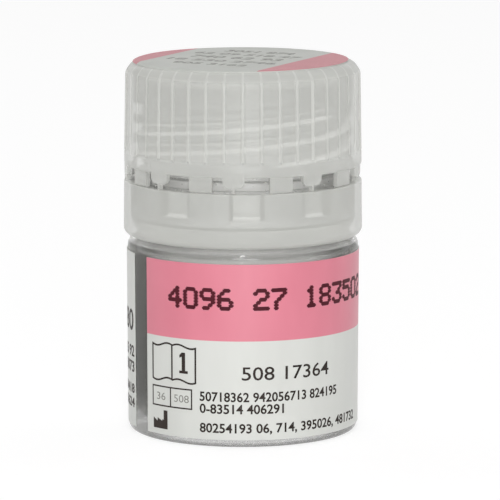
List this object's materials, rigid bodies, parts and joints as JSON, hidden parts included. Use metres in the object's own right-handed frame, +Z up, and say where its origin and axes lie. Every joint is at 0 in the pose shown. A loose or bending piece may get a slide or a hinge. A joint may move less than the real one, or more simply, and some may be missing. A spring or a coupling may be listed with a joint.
{
  "type": "contact lens vial",
  "caption": "Clear round vial holding one rigid contact lens, with a ribbed screw cap, a tamper ring, a wrap-round label and a round label on the cap.",
  "frame": {"origin": "centre of the flat foot ring that the vial stands on", "axes": "+Z up along the vial's and the cap's common axis, -Y towards the front, where the side label starts on the left, +X to the right"},
  "size_m": [0.0302, 0.0302, 0.0471],
  "materials": {
    "clear_body": "clear moulded plastic, polished",
    "frosted_plastic": "translucent natural plastic, satin",
    "side_label": "printed label, pink band over white, satin",
    "cap_label": "printed label, pink ends and a white band, satin",
    "liner_foam": "white foam disc, matt",
    "lens": "clear rigid lens with a faint blue handling tint, polished"
  },
  "bodies": {
    "vial": {"vial": "clear_body", "side_label": "side_label", "tamper_ring": "frosted_plastic", "contact_lens": "lens"},
    "liner": {"cap_liner": "liner_foam"},
    "cap": {"cap": "frosted_plastic", "cap_label": "cap_label"}
  },
  "joints": [
    {"name": "cap_lift", "type": "slide", "parent": "vial", "child": "liner", "axis": [0, 0, 1], "range_m": [0, 0.01126]},
    {"name": "cap_turn", "type": "hinge", "parent": "liner", "child": "cap", "pos_m": [0, 0, 0.0339], "axis": [0, 0, 1], "range_deg": [0, 540]}
  ],
  "couplings": [
    {"joint": "cap_lift", "follows": "cap_turn", "m_per_rad": 0.0011937}
  ]
}
